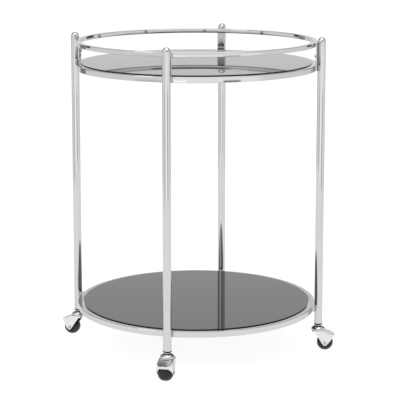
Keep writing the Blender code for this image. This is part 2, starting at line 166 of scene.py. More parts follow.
def modify(piece: bpy.types.Object, kind: str, **settings: Any) -> None:
    """Add a modifier to a piece and apply it.

    Args:
        piece: The piece to change.
        kind: The modifier's type.
        settings: The modifier's own values.
    """
    take(piece)
    bpy.ops.object.modifier_add(type=kind)
    modifier = piece.modifiers[-1]
    for key, value in settings.items():
        setattr(modifier, key, value)
    bpy.ops.object.modifier_apply(modifier=modifier.name)


def round_edges(piece: bpy.types.Object, width: float, segments: int = 3) -> None:
    """Round every sharp edge of a piece."""
    modify(piece, "BEVEL", width=width, segments=segments, limit_method="ANGLE", angle_limit=SMOOTH_ANGLE)


def finish_shading(piece: bpy.types.Object) -> None:
    """Shade a piece smooth up to its sharp edges, with its large faces kept flat.

    Args:
        piece: The piece to work on.
    """
    take(piece)
    bpy.ops.object.shade_smooth_by_angle(angle=SMOOTH_ANGLE)
    modify(piece, "WEIGHTED_NORMAL", keep_sharp=True)


def cut(piece: bpy.types.Object, *tools: bpy.types.Object) -> None:
    """Cut other shapes out of a piece and remove them.

    Args:
        piece: The piece to work on.
        tools: The shapes to cut out, which are then gone.
    """
    for tool in tools:
        modify(piece, "BOOLEAN", operation="DIFFERENCE", solver="EXACT", object=tool)
        bpy.data.objects.remove(tool, do_unlink=True)


def made(name: str) -> bpy.types.Object:
    """Name the object that an operator has just added, and its mesh.

    Args:
        name: The new name.

    Returns:
        The named object.
    """
    piece = bpy.context.object
    piece.name = name
    piece.data.name = name
    return piece


def block(name: str, low: Vector, high: Vector) -> bpy.types.Object:
    """A box between two corners, with its place in its mesh.

    Args:
        name: The new piece's name.
        low: Its lowest corner.
        high: Its highest corner.

    Returns:
        The box, at the origin.
    """
    deselect_all()
    bpy.ops.mesh.primitive_cube_add(size=1.0, location=(low + high) / 2)
    piece = made(name)
    piece.scale = high - low
    apply_place(piece)
    return piece


def rod(
    name: str, radius: float, low: float, high: float, sides: int, ends: str = "NGON"
) -> bpy.types.Object:
    """A cylinder about Z between two heights, with its place in its mesh.

    Args:
        name: The new piece's name.
        radius: Its radius.
        low: Its lower end's height.
        high: Its upper end's height.
        sides: How many flats it has.
        ends: How its ends are filled, in the operator's words.

    Returns:
        The cylinder, at the origin.
    """
    deselect_all()
    bpy.ops.mesh.primitive_cylinder_add(
        vertices=sides, radius=radius, depth=high - low, location=(0, 0, (low + high) / 2), end_fill_type=ends
    )
    piece = made(name)
    apply_place(piece)
    return piece


@dataclass(frozen=True)
class Turning:
    """A turned shape: an outline of (radius, height) points that is spun about Z.

    The outline is drawn by extruding one corner to the next, and the corners in rounds are then
    bevelled, each by its own radius.
    """

    outline: list[Point]
    rounds: dict[int, float] = field(default_factory=dict)
    steps: int = 64
    closed: bool = False
    segments: int = 4

    def build(self, name: str) -> bpy.types.Object:
        """Model the shape.

        Args:
            name: The new piece's name.

        Returns:
            The turned piece, at the origin.
        """
        radius, height = self.outline[0]
        deselect_all()
        bpy.ops.mesh.primitive_plane_add(size=TINY, location=(radius, 0, height))
        piece = made(name)
        apply_place(piece)
        with editing(piece, Element.VERTS):
            self._draw()
            self._round_corners()
            bpy.ops.mesh.select_all(action="SELECT")
            bpy.ops.mesh.spin(steps=self.steps, angle=math.tau, center=(0, 0, 0), axis=(0, 0, 1))
            bpy.ops.mesh.select_all(action="SELECT")
            bpy.ops.mesh.remove_doubles(threshold=MERGE)
            bpy.ops.mesh.normals_make_consistent(inside=False)
        return piece

    def _draw(self) -> None:
        """Shrink the starting plane to one corner and extrude it along the outline."""
        bpy.ops.mesh.select_all(action="SELECT")
        bpy.ops.mesh.merge(type="CENTER")
        for (radius, height), (next_radius, next_height) in zip(self.outline, self.outline[1:]):
            step = (next_radius - radius, 0, next_height - height)
            bpy.ops.mesh.extrude_region_move(TRANSFORM_OT_translate={"value": step})
        if self.closed:
            self._select_corner(self.outline[0])
            bpy.ops.mesh.edge_face_add()

    def _select_corner(self, corner: Point) -> None:
        """Add the outline's corner at one place to what is selected."""
        place = Vector((corner[0], 0, corner[1]))
        pick(Element.VERTS, lambda vert: (vert.co - place).length < MERGE)

    def _round_corners(self) -> None:
        """Bevel the corners that have a rounding radius."""
        for number, radius in self.rounds.items():
            bpy.ops.mesh.select_all(action="DESELECT")
            self._select_corner(self.outline[number])
            bpy.ops.mesh.bevel(offset=radius, segments=self.segments, affect="VERTICES")


def copy_to(master: bpy.types.Object, name: str, place: Matrix) -> bpy.types.Object:
    """Copy a master piece to its place, with a mesh of its own.

    Args:
        master: The piece that was modelled once.
        name: The copy's name.
        place: Where the copy goes, from the master's own frame.

    Returns:
        The copy, its place in its mesh.
    """
    take(master)
    bpy.ops.object.duplicate(linked=False)
    piece = made(name)
    piece.matrix_world = place
    apply_place(piece)
    return piece


def discard(*pieces: bpy.types.Object) -> None:
    """Remove masters that have been copied."""
    for piece in pieces:
        bpy.data.objects.remove(piece, do_unlink=True)


# Shader bench


@dataclass(frozen=True)
class Value:
    """A number inside a node tree, which Python's operators turn into Math nodes."""

    bench: "ShaderBench"
    socket: bpy.types.NodeSocket

    def _math(self, operation: str, *values: Any) -> "Value":
        """Add a Math node that works on numbers and other values.

        Args:
            operation: The node's operation.
            values: Its inputs, in their order.

        Returns:
            The node's result.
        """
        inputs = dict(enumerate(values))
        node = self.bench.node("ShaderNodeMath", {"operation": operation}, inputs)
        return Value(self.bench, node.outputs[0])

    def __add__(self, other: "Value | float") -> "Value":
        """This value plus another."""
        return self._math("ADD", self, other)

    __radd__ = __add__

    def __sub__(self, other: "Value | float") -> "Value":
        """This value minus another."""
        return self._math("SUBTRACT", self, other)

    def __rsub__(self, other: "Value | float") -> "Value":
        """Another value minus this one."""
        return self._math("SUBTRACT", other, self)

    def __mul__(self, other: "Value | float") -> "Value":
        """This value times another."""
        return self._math("MULTIPLY", self, other)

    __rmul__ = __mul__

    def __pow__(self, other: "Value | float") -> "Value":
        """This value to a power."""
        return self._math("POWER", self, other)

    def __abs__(self) -> "Value":
        """This value without its sign."""
        return self._math("ABSOLUTE", self)

    def turn_from(self, other: "Value") -> "Value":
        """The angle whose sine is this value and whose cosine is the other."""
        return self._math("ARCTAN2", self, other)

    def step(self, start: float, end: float) -> "Value":
        """A smooth rise from 0 at start to 1 at end, or a fall where end is the lower one.

        Args:
            start: Where the result is 0.
            end: Where the result is 1.

        Returns:
            The result, which stays between 0 and 1.
        """
        settings = {"interpolation_type": "SMOOTHSTEP"}
        low, high, first, last = (start, end, 0.0, 1.0) if start < end else (end, start, 1.0, 0.0)
        inputs = {"Value": self, "From Min": low, "From Max": high, "To Min": first, "To Max": last}
        return Value(self.bench, self.bench.node("ShaderNodeMapRange", settings, inputs).outputs[0])


class ShaderBench:
    """The node tree of one material or world."""

    def __init__(self, tree: bpy.types.NodeTree) -> None:
        """Start from an empty tree."""
        self.tree = tree
        tree.nodes.clear()

    def node(
        self, kind: str, settings: dict[str, Any] | None = None, inputs: dict[int | str, Any] | None = None
    ) -> bpy.types.Node:
        """Add a node.

        Args:
            kind: The node's type.
            settings: Its own settings, which are set first.
            inputs: Numbers, colours, sockets or values for its inputs, by name or number.

        Returns:
            The new node.
        """
        node = self.tree.nodes.new(kind)
        for key, value in (settings or {}).items():
            setattr(node, key, value)
        for key, value in (inputs or {}).items():
            source = value.socket if isinstance(value, Value) else value
            if isinstance(source, bpy.types.NodeSocket):
                self.tree.links.new(source, node.inputs[key])
            else:
                node.inputs[key].default_value = source
        return node

    def value(self, node: bpy.types.Node, output: int | str = 0) -> Value:
        """One output of a node as a value."""
        return Value(self, node.outputs[output])

    @cached_property
    def place(self) -> bpy.types.NodeSocket:
        """The point on the object, in metres."""
        return self.node("ShaderNodeTexCoord").outputs["Object"]

    @cached_property
    def axes(self) -> tuple[Value, Value, Value]:
        """The point's X, Y and Z."""
        split = self.node("ShaderNodeSeparateXYZ", inputs={0: self.place})
        return self.value(split, 0), self.value(split, 1), self.value(split, 2)

    def vector(self, x: Value | float, y: Value | float, z: Value | float) -> bpy.types.NodeSocket:
        """Three values as a vector."""
        return self.node("ShaderNodeCombineXYZ", inputs={0: x, 1: y, 2: z}).outputs[0]

    def grained(self, grain: Grain, fine: float, coarse: float) -> bpy.types.NodeSocket:
        """Coordinates that are fine across the polishing and coarse along it.

        Args:
            grain: Which way the surface was polished.
            fine: Pattern steps per metre across the polishing.
            coarse: Pattern steps per metre along it.

        Returns:
            The vector to put into a texture with a scale of 1.
        """
        x, y, z = self.axes
        if grain is Grain.UPRIGHT:
            return self.vector(x * fine, y * fine, z * coarse)
        if grain is Grain.ROUND:
            radius = (x * x + y * y) ** 0.5
            return self.vector(radius * fine, y.turn_from(x) * (coarse * RING_REACH), z * fine)
        return self.vector(x * fine, y * fine, z * fine)

    def noise(
        self, vector: bpy.types.NodeSocket, scale: float, detail: float = 3.0, rough: float = 0.55
    ) -> Value:
        """Cloudy noise from 0 to 1."""
        inputs = {"Vector": vector, "Scale": scale, "Detail": detail, "Roughness": rough}
        return self.value(self.node("ShaderNodeTexNoise", inputs=inputs))

    def specks(self, scale: float, size: float) -> Value:
        """Small round specks, 1 at their middles and 0 between them."""
        inputs = {"Vector": self.place, "Scale": scale, "Randomness": 1.0}
        return self.value(self.node("ShaderNodeTexVoronoi", inputs=inputs)).step(size, size * 0.4)

    def mix(self, share: Value, first: Colour, second: Colour) -> bpy.types.NodeSocket:
        """A colour between two, by a share from 0 to 1."""
        inputs = {0: share, 6: (*first, 1.0), 7: (*second, 1.0)}
        return self.node("ShaderNodeMix", {"data_type": "RGBA"}, inputs).outputs[2]

    def bump(self, height: Value, depth: float, strength: float) -> bpy.types.NodeSocket:
        """A normal that follows a height pattern of a real depth in metres."""
        inputs = {"Height": height, "Distance": depth, "Strength": strength}
        return self.node("ShaderNodeBump", inputs=inputs).outputs[0]


@dataclass(frozen=True)
class Finish:
    """A surface finish: a record slot and the material that is built for it once."""

    label: str
    slot: str

    @cached_property
    def material(self) -> bpy.types.Material:
        """The finish's material.

        Returns:
            The material, built the first time that it is asked for.
        """
        material = bpy.data.materials.new(self.label)
        material.use_nodes = True
        bench = ShaderBench(material.node_tree)
        shader = bench.node("ShaderNodeBsdfPrincipled", inputs=self.surface(bench))
        bench.node("ShaderNodeOutputMaterial", inputs={"Surface": shader.outputs[0]})
        return material

    def surface(self, bench: ShaderBench) -> dict[int | str, Any]:
        """The values and links of the Principled shader's sockets.

        Args:
            bench: The tree that the nodes are added to.

        Returns:
            What goes into the Principled shader's sockets, by their names.
        """
        raise NotImplementedError


@dataclass(frozen=True)
class ChromePlate(Finish):
    """Mirror chrome plate with polishing lines, faint clouding, water spots and handling smudges."""

    grain: Grain = Grain.NONE
    tone: Colour = (0.585, 0.585, 0.590)
    dull_tone: Colour = (0.535, 0.533, 0.532)
    edge_tint: Colour = (0.80, 0.80, 0.81)
    roughness: float = 0.045
    line_depth: float = 0.000004

    def surface(self, bench: ShaderBench) -> dict[int | str, Any]:
        """The plate's colour, roughness and fine relief.

        Args:
            bench: The tree that the nodes are added to.

        Returns:
            What goes into the Principled shader's sockets, by their names.
        """
        polish = bench.grained(self.grain, fine=2600.0, coarse=40.0)
        lines = bench.noise(polish, scale=1.0, detail=2.0)
        waves = bench.noise(bench.place, scale=55.0, detail=2.0)
        smudges = bench.noise(bench.place, scale=18.0, detail=5.0, rough=0.62).step(0.52, 0.74)
        spotted = bench.noise(bench.place, scale=9.0, detail=2.0).step(0.5, 0.62)
        spots = bench.specks(scale=420.0, size=0.16) * spotted
        relief = lines * 0.4 + waves
        return {
            "Base Color": bench.mix(smudges * 0.55 + spots * 0.45, self.tone, self.dull_tone),
            "Metallic": 1.0,
            "Roughness": self.roughness + smudges * 0.05 + spots * 0.12 + lines * 0.018,
            "Specular Tint": (*self.edge_tint, 1.0),
            "Normal": bench.bump(relief, depth=self.line_depth, strength=0.6),
        }


@dataclass(frozen=True)
class PlatedSteel(Finish):
    """Zinc-plated steel fixings with turning marks and a little dullness in the plate."""

    tone: Colour = (0.52, 0.52, 0.525)
    dull_tone: Colour = (0.40, 0.395, 0.39)
    roughness: float = 0.13

    def surface(self, bench: ShaderBench) -> dict[int | str, Any]:
        """The steel's colour, roughness and grain.

        Args:
            bench: The tree that the nodes are added to.

        Returns:
            What goes into the Principled shader's sockets, by their names.
        """
        clouds = bench.noise(bench.place, scale=260.0, detail=4.0)
        marks = bench.noise(bench.place, scale=1500.0, detail=2.0)
        return {
            "Base Color": bench.mix(clouds.step(0.4, 0.75), self.tone, self.dull_tone),
            "Metallic": 1.0,
            "Roughness": self.roughness + clouds * 0.12 + marks * 0.05,
            "Normal": bench.bump(marks, depth=0.00001, strength=0.5),
        }


@dataclass(frozen=True)
class BlackGlass(Finish):
    """Back-painted black glass with faint dust, wiped streaks and the slight waviness of float glass."""

    tone: Colour = (0.0045, 0.0045, 0.0050)
    dust_tone: Colour = (0.020, 0.020, 0.021)
    roughness: float = 0.012

    def surface(self, bench: ShaderBench) -> dict[int | str, Any]:
        """The glass's colour, roughness and waviness.

        Args:
            bench: The tree that the nodes are added to.

        Returns:
            What goes into the Principled shader's sockets, by their names.
        """
        x, y, z = bench.axes
        wiped = bench.vector(x * 9.0 + y * 4.0, y * 60.0 - x * 26.0, z)
        streaks = bench.noise(wiped, scale=1.0, detail=4.0).step(0.5, 0.78)
        prints = bench.noise(bench.place, scale=24.0, detail=5.0, rough=0.65).step(0.6, 0.76)
        dusty = bench.noise(bench.place, scale=6.0, detail=2.0).step(0.35, 0.7)
        dust = bench.specks(scale=900.0, size=0.10) * dusty
        waves = bench.noise(bench.place, scale=3.5, detail=1.0)
        return {
            "Base Color": bench.mix(dust * 0.6 + prints * 0.12, self.tone, self.dust_tone),
            "Roughness": self.roughness + streaks * 0.010 + prints * 0.022 + dust * 0.05,
            "IOR": 1.5,
            "Normal": bench.bump(waves, depth=0.00004, strength=0.5),
        }


@dataclass(frozen=True)
class MouldedPlastic(Finish):
    """Black moulded nylon with a fine spark texture and a few lighter scuffs."""

    tone: Colour = (0.004, 0.004, 0.004)
    scuff_tone: Colour = (0.022, 0.022, 0.023)
    roughness: float = 0.34

    def surface(self, bench: ShaderBench) -> dict[int | str, Any]:
        """The plastic's colour, roughness and texture.

        Args:
            bench: The tree that the nodes are added to.

        Returns:
            What goes into the Principled shader's sockets, by their names.
        """
        texture = bench.noise(bench.place, scale=2400.0, detail=2.0)
        scuffs = bench.noise(bench.place, scale=420.0, detail=4.0, rough=0.7).step(0.62, 0.78)
        return {
            "Base Color": bench.mix(scuffs * 0.5, self.tone, self.scuff_tone),
            "Roughness": self.roughness + texture * 0.10 + scuffs * 0.12,
            "Specular IOR Level": 0.20,
            "Normal": bench.bump(texture, depth=0.00003, strength=0.5),
        }


@dataclass(frozen=True)
class TyreRubber(Finish):
    """Black tyre rubber with a satin skin, fine pores and a little dust from the floor."""

    tone: Colour = (0.012, 0.012, 0.0122)
    dust_tone: Colour = (0.040, 0.039, 0.038)
    roughness: float = 0.36

    def surface(self, bench: ShaderBench) -> dict[int | str, Any]:
        """The rubber's colour, roughness and pores.

        Args:
            bench: The tree that the nodes are added to.

        Returns:
            What goes into the Principled shader's sockets, by their names.
        """
        pores = bench.noise(bench.place, scale=1800.0, detail=3.0)
        dust = bench.noise(bench.place, scale=150.0, detail=5.0, rough=0.66).step(0.55, 0.8)
        return {
            "Base Color": bench.mix(dust * 0.45, self.tone, self.dust_tone),
            "Roughness": self.roughness + dust * 0.18 + pores * 0.06,
            "Specular IOR Level": 0.32,
            "Normal": bench.bump(pores + dust * 0.5, depth=0.00004, strength=0.5),
        }


@dataclass(frozen=True)
class Silicone(Finish):
    """Milky silicone rubber with a dull skin."""

    tone: Colour = (0.60, 0.60, 0.59)
    dull_tone: Colour = (0.48, 0.48, 0.46)

    def surface(self, bench: ShaderBench) -> dict[int | str, Any]:
        """The silicone's colour, roughness and skin.

        Args:
            bench: The tree that the nodes are added to.

        Returns:
            What goes into the Principled shader's sockets, by their names.
        """
        clouds = bench.noise(bench.place, scale=350.0, detail=4.0)
        return {
            "Base Color": bench.mix(clouds, self.tone, self.dull_tone),
            "Roughness": 0.42 + clouds * 0.22,
            "Subsurface Weight": 0.25,
            "Subsurface Scale": 0.002,
            "Normal": bench.bump(clouds, depth=0.00004, strength=0.4),
        }


POST_CHROME = ChromePlate("post_chrome", "chrome", Grain.UPRIGHT)
RING_CHROME = ChromePlate("ring_chrome", "chrome", Grain.ROUND)
FITTING_CHROME = ChromePlate("fitting_chrome", "chrome", Grain.NONE)
# The hoods' chrome has a brighter tone than the other plate. This is a painted highlight that stands in for
# the bright reflections on their pressed faces.
PRESSED_CHROME_PAINTED_BRIGHT = ChromePlate("pressed_chrome", "chrome", Grain.NONE, (0.74, 0.74, 0.745), roughness=0.24)
STEEL = PlatedSteel("plated_steel", "screw_steel")
GLASS = BlackGlass("black_glass", "black_glass")
NYLON = MouldedPlastic("black_nylon", "black_plastic")
RUBBER = TyreRubber("tyre_rubber", "tyre_black")
PAD_RUBBER = Silicone("pad_silicone", "silicone")


def dress(piece: bpy.types.Object, finish: Finish, body: str, *nodes: str) -> None:
    """Give a finished piece its material and its body, and hide the CAD nodes that it stands for.

    Args:
        piece: The finished piece, at the origin.
        finish: Its surface finish.
        body: The CAD body that it rides on.
        nodes: The CAD nodes that it replaces.
    """
    finish_shading(piece)
    piece.data.materials.clear()
    piece.data.materials.append(finish.material)
    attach(piece, body)
    if nodes:
        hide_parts(*nodes)
    LOG.info("%s: %d faces, rides on %s", piece.name, len(piece.data.polygons), body)


# Places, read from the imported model


@dataclass(frozen=True)
class Extent:
    """A CAD node's box at rest."""

    low: Vector
    high: Vector

    @classmethod
    def of(cls, node: str) -> "Extent":
        """The box of one node."""
        return cls(*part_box(node))

    @property
    def middle(self) -> Vector:
        """The box's middle."""
        return (self.low + self.high) / 2

    @property
    def size(self) -> Vector:
        """The box's three sides."""
        return self.high - self.low


@dataclass(frozen=True)
class Stand:
    """Where one post stands and which way its caster trails."""

    name: str
    axis: Vector
    outward: float
    trail: float

    @classmethod
    def of(cls, name: str) -> "Stand":
        """Read a post's place from its CAD nodes.

        Args:
            name: Which post, as in the names of its nodes.

        Returns:
            Where it stands and the way its caster trails.
        """
        post = Extent.of(f"post_{name}").middle
        away = Extent.of(f"tyre_{name}").middle - post
        return cls(name, Vector((post.x, post.y, 0)), math.atan2(post.y, post.x), math.atan2(away.y, away.x))

    @property
    def post_frame(self) -> Matrix:
        """From the post's own frame, with X pointing out of the cart."""
        return Matrix.Translation(self.axis) @ Matrix.Rotation(self.outward, 4, "Z")

    @property
    def caster_frame(self) -> Matrix:
        """From the swivelling fork's own frame, with X pointing the way it trails."""
        return Matrix.Translation(self.axis) @ Matrix.Rotation(self.trail, 4, "Z")


# Sub-assemblies


@dataclass
class Posts:
    """Four chrome tubes with half-round caps pressed into their tops."""

    stands: list[Stand]
    wall: float = 0.0012
    lip: float = 0.0003
    dome_share: float = 0.995
    dome_segments: int = 20
    plug_depth: float = 0.0120
    sides: int = 96

    def build(self) -> None:
        """Model one post and one cap and copy them to their places."""
        extent = Extent.of(f"post_{self.stands[0].name}")
        self.radius = extent.size.x / 2
        self.low, self.high = extent.low.z, extent.high.z
        masters = {"post": self._tube(), "post_cap": self._cap()}
        for kind, master in masters.items():
            for stand in self.stands:
                name = f"{kind}_{stand.name}"
                piece = copy_to(master, f"{name}_fine", stand.post_frame)
                dress(piece, POST_CHROME, "frame", name)
        discard(*masters.values())

    def _tube(self) -> bpy.types.Object:
        """A tube with its wall and softened ends.

        Returns:
            The post's tube, about the post's own axis.
        """
        tube = rod("tube", self.radius, self.low, self.high, self.sides, ends="NOTHING")
        modify(tube, "SOLIDIFY", thickness=self.wall, offset=-1.0, use_even_offset=True)
        round_edges(tube, self.lip, 2)
        return tube

    def _cap(self) -> bpy.types.Object:
        """A half-round cap on its plug.

        Returns:
            The cap, about the post's own axis.
        """
        seat = self.high + FIT_GAP
        dome = self.radius - FIT_GAP
        plug = self.radius - self.wall - FIT_GAP
        outline = [(0.0, seat + dome), (dome, seat + dome), (dome, seat), (plug, seat)]
        outline += [(plug, self.high - self.plug_depth), (0.0, self.high - self.plug_depth)]
        rounds = {1: dome * self.dome_share}
        return Turning(outline, rounds, self.sides, segments=self.dome_segments).build("cap")


@dataclass
class Ring:
    """A ring bent from flat-sided tube with rounded corners, drained by small holes underneath."""

    node: str
    height: float
    stands: list[Stand]
    corner: float = 0.0016
    hole_radius: float = 0.0015
    hole_depth: float = 0.0030
    hole_turn: float = math.radians(20)
    hole_sides: int = 24
    steps: int = 256

    def build(self) -> None:
        """Model the ring and dress it."""
        outer = Extent.of("gallery_rail").size.x / 2
        inner = outer - TUBE_WIDTH
        top = Extent.of(self.node).high.z
        low = top - self.height
        outline = [(outer, top), (outer, low), (inner, low), (inner, top)]
        rounds = {number: self.corner for number in range(len(outline))}
        ring = Turning(outline, rounds, self.steps, closed=True).build(f"{self.node}_fine")
        for stand in self.stands:
            ends = (low - self.hole_depth, low + self.hole_depth)
            drill = rod("drill", self.hole_radius, *ends, self.hole_sides)
            turn = Matrix.Rotation(stand.outward + self.hole_turn, 4, "Z")
            drill.matrix_world = turn @ Matrix.Translation((outer - TUBE_WIDTH / 2, 0, 0))
            cut(ring, drill)
        dress(ring, RING_CHROME, "frame", self.node)


@dataclass
class Straps:
    """Flat straps that carry the gallery rail and the upper ring on the posts, with their welds."""

    stands: list[Stand]
    rail_height: float
    ring_height: float
    corner: float = 0.0012
    edge: float = 0.0005
    bead_radius: float = 0.0008
    bead_pitch: float = 0.0010
    bead_offset: float = 0.0001
    ring_edge: float = 0.0016

    def build(self) -> None:
        """Model one strap and its weld beads and copy them to their places."""
        reference = self.stands[0]
        outer = Extent.of("gallery_rail").size.x / 2
        post = Extent.of(f"post_{reference.name}")
        self.inner_x = outer - reference.axis.length
        self.outer_x = -post.size.x / 2 - FIT_GAP
        strap = Extent.of(f"strap_{reference.name}")
        self.width = max(strap.size.x, strap.size.y)
        self.low, self.high = strap.low.z, strap.high.z
        masters = [self._plate()]
        masters += self._beads("rail", Extent.of("gallery_rail").high.z, self.rail_height)
        masters += self._beads("ring", Extent.of("upper_ring").high.z, self.ring_height)
        for stand in self.stands:
            for number, master in enumerate(masters):
                if number == 0:
                    piece = copy_to(master, f"strap_{stand.name}_fine", stand.post_frame)
                    dress(piece, FITTING_CHROME, "frame", f"strap_{stand.name}")
                else:
                    piece = copy_to(master, f"strap_{stand.name}_{master.name}", stand.post_frame)
                    dress(piece, FITTING_CHROME, "frame")
        discard(*masters)

    def _plate(self) -> bpy.types.Object:
        """The strap itself, with rounded corners and edges.

        Returns:
            The strap, in the post's own frame.
        """
        low = Vector((self.inner_x, -self.width / 2, self.low))
        high = Vector((self.outer_x, self.width / 2, self.high))
        plate = block("plate", low, high)
        with editing(plate, Element.EDGES):
            pick(Element.EDGES, lambda edge: abs(edge.verts[0].co.x - edge.verts[1].co.x) > TINY)
            bpy.ops.mesh.bevel(offset=self.corner, segments=4)
        round_edges(plate, self.edge)
        return plate

    def _beads(self, label: str, top: float, height: float) -> list[bpy.types.Object]:
        """A row of weld ripples along each side of the strap, where it meets a ring.

        Args:
            label: Which ring, for the names.
            top: The ring's highest point.
            height: The ring's height.

        Returns:
            The two rows, in the post's own frame.
        """
        beads = []
        length = height - 2 * self.ring_edge
        count = int(length / self.bead_pitch)
        for side, sign in (("near", -1), ("far", 1)):
            deselect_all()
            bpy.ops.mesh.primitive_uv_sphere_add(segments=12, ring_count=8, radius=self.bead_radius)
            bead = made(f"{label}_weld_{side}")
            first = top - self.ring_edge - self.bead_pitch / 2
            across = self.width / 2 + self.bead_offset
            bead.location = (self.inner_x + self.bead_offset, sign * across, first)
            apply_place(bead)
            offset = (0.0, 0.0, -self.bead_pitch)
            modify(
                bead, "ARRAY", count=count, use_relative_offset=False, use_constant_offset=True,
                constant_offset_displace=offset,
            )
            beads.append(bead)
        return beads


@dataclass
class Seats:
    """Spacers that carry the lower ring on the posts, and tabs that carry both glass shelves."""

    stands: list[Stand]
    spacer_width: float = 0.0150
    saddle_reach: float = 0.0016
    tab_length: float = 0.0180
    tab_width: float = 0.0140
    tab_thickness: float = 0.0020
    edge: float = 0.0004
    rim_margin: float = 0.0001
    post_gap: float = 0.0002
    corner: float = 0.0030
    cut_sides: int = 64

    def build(self) -> None:
        """Model one spacer, and a tab for each ring, and copy them round."""
        outer = Extent.of("gallery_rail").size.x / 2
        lower = Extent.of("lower_ring")
        spacer = self._spacer(outer, lower.high.z - RING_HEIGHT, lower.high.z)
        for stand in self.stands:
            piece = copy_to(spacer, f"ring_spacer_{stand.name}", stand.post_frame)
            dress(piece, FITTING_CHROME, "frame")
        discard(spacer)
        for ring, low in (("upper", Extent.of("upper_ring").low.z), ("lower", lower.low.z)):
            tab = self._tab(outer - TUBE_WIDTH, low)
            for stand in self.stands:
                turn = Matrix.Rotation(stand.outward + QUARTER / 2, 4, "Z")
                piece = copy_to(tab, f"{ring}_tab_{stand.name}", turn)
                dress(piece, FITTING_CHROME, "frame")
            discard(tab)

    def _spacer(self, outer: float, low: float, high: float) -> bpy.types.Object:
        """A block between ring and post, hollowed on its outer side to fit the post.

        Args:
            outer: The ring's outer radius.
            low: The ring's lowest point.
            high: The ring's highest point.

        Returns:
            The block, in the post's own frame.
        """
        stand = self.stands[0]
        post_radius = Extent.of(f"post_{stand.name}").size.x / 2
        inner_x = outer - stand.axis.length - self.edge
        rim = self.edge + self.rim_margin
        corner_low = Vector((inner_x, -self.spacer_width / 2, low + rim))
        corner_high = Vector((-post_radius + self.saddle_reach, self.spacer_width / 2, high - rim))
        spacer = block("spacer", corner_low, corner_high)
        cut_radius = post_radius + self.post_gap
        cut(spacer, rod("post_space", cut_radius, low - rim, high + rim, self.cut_sides))
        round_edges(spacer, self.edge / 2, 2)
        return spacer

    def _tab(self, inner: float, low: float) -> bpy.types.Object:
        """A flat tab that reaches in under the glass, with its free corners rounded.

        Args:
            inner: The ring's inner radius.
            low: The tab's lower face.

        Returns:
            The tab, reaching in along X.
        """
        free_x = inner - self.tab_length
        corner_low = Vector((free_x, -self.tab_width / 2, low))
        corner_high = Vector((inner + self.edge, self.tab_width / 2, low + self.tab_thickness))
        tab = block("tab", corner_low, corner_high)
        with editing(tab, Element.EDGES):
            pick(
                Element.EDGES,
                lambda edge: abs(edge.verts[0].co.z - edge.verts[1].co.z) > TINY
                and edge.verts[0].co.x < free_x + TINY,
            )
            bpy.ops.mesh.bevel(offset=self.corner, segments=6)
        round_edges(tab, self.edge / 2, 2)
        return tab


@dataclass
class SocketScrews:
    """Button-head screws with a hexagon socket, whose heads sit on an inner face."""

    label: str
    stands: list[Stand]
    head_radius: float
    head_height: float
    shank_radius: float
    dome_share: float = 0.96
    socket_share: float = 0.42
    socket_depth_share: float = 0.55
    steps: int = 48

    def build(self) -> None:
        """Model one screw and copy it to every post."""
        stand = self.stands[0]
        extent = Extent.of(f"{self.label}_{stand.name}")
        reach = stand.axis.length
        along = Vector((math.cos(stand.outward), math.sin(stand.outward), 0))
        ends = sorted((extent.low.dot(along), extent.high.dot(along)))
        head, tip = ends[0] - reach, ends[1] - reach
        height = extent.middle.z
        screw = self._screw(tip - head)
        inwards = Matrix.Translation((head, 0, height)) @ Matrix.Rotation(-QUARTER, 4, "Y")
        for stand in self.stands:
            name = f"{self.label}_{stand.name}"
            piece = copy_to(screw, f"{name}_fine", stand.post_frame @ inwards)
            dress(piece, STEEL, "frame", name)
        discard(screw)

    def _screw(self, length: float) -> bpy.types.Object:
        """A screw whose head's top is at the origin and whose shank runs down Z.

        Args:
            length: Its whole length.

        Returns:
            The screw.
        """
        head_r, head_h, shank_r = self.head_radius, self.head_height, self.shank_radius
        outline = [(0.0, 0.0), (head_r, 0.0), (head_r, -head_h), (shank_r, -head_h)]
        outline += [(shank_r, -length), (0.0, -length)]
        rounds = {1: head_h * self.dome_share}
        screw = Turning(outline, rounds, self.steps, segments=8).build("screw")
        depth = head_h * self.socket_depth_share
        cut(screw, rod("hexagon", head_r * self.socket_share, -depth, head_h, 6))
        return screw


@dataclass
class Shelves:
    """Two black glass discs with ground edges, each on four silicone pads."""

    ring_names: tuple[str, ...] = ("upper", "lower")
    pads_each: int = 4
    edge: float = 0.0006
    sides: int = 256
    pad_sides: int = 40

    def build(self) -> None:
        """Model both discs and their pads."""
        for name in self.ring_names:
            node = f"{name}_glass"
            extent = Extent.of(node)
            disc = rod(f"{node}_fine", extent.size.x / 2, extent.low.z, extent.high.z, self.sides)
            round_edges(disc, self.edge)
            dress(disc, GLASS, "frame", node)
        first = Extent.of("upper_pad_1")
        radius = max(first.size.x, first.size.y) / 2
        master = rod("pad", radius, -first.size.z / 2, first.size.z / 2, self.pad_sides)
        round_edges(master, first.size.z / 3)
        for name in self.ring_names:
            for number in range(1, self.pads_each + 1):
                node = f"{name}_pad_{number}"
                piece = copy_to(master, f"{node}_fine", Matrix.Translation(Extent.of(node).middle))
                dress(piece, PAD_RUBBER, "frame", node)
        discard(master)


